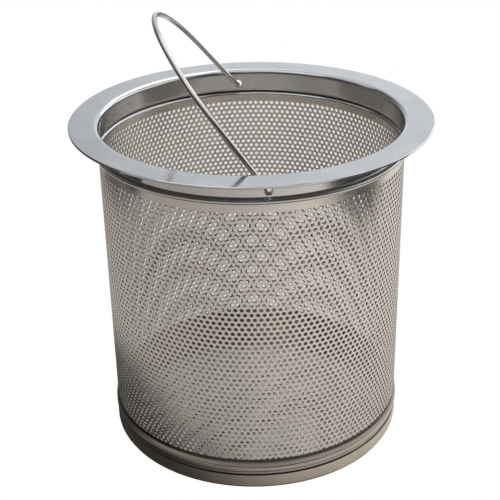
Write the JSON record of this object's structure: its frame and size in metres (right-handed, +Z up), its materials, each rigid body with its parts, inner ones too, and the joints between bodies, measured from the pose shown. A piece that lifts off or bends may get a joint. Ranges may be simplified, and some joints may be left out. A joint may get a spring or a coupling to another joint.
{
  "type": "basket strainer",
  "caption": "Cylindrical perforated steel strainer basket with a flat seating flange, beaded neck, rolled base rim and swinging wire bail.",
  "frame": {"origin": "centre of the base, on the surface that the basket stands on", "axes": "+Z up along the basket's axis towards the flange; +Y along the bail's pivot; the bail leans towards -X at rest"},
  "size_m": [0.18, 0.18, 0.2197],
  "materials": {
    "collar_steel": "satin-polished stainless sheet",
    "perforated_steel": "mill-finished perforated stainless sheet",
    "rim_steel": "roll-formed stainless band",
    "wire_steel": "bright drawn stainless wire"
  },
  "bodies": {
    "basket": {"flange_collar": "collar_steel", "perforated_wall": "perforated_steel", "perforated_bottom": "perforated_steel", "base_rim": "rim_steel"},
    "bail": {"bail_handle": "wire_steel"}
  },
  "joints": [
    {"name": "bail_swing", "type": "hinge", "parent": "basket", "child": "bail", "pos_m": [0, 0, 0.16025], "axis": [0, 1, 0], "range_deg": [-52, 127]}
  ]
}
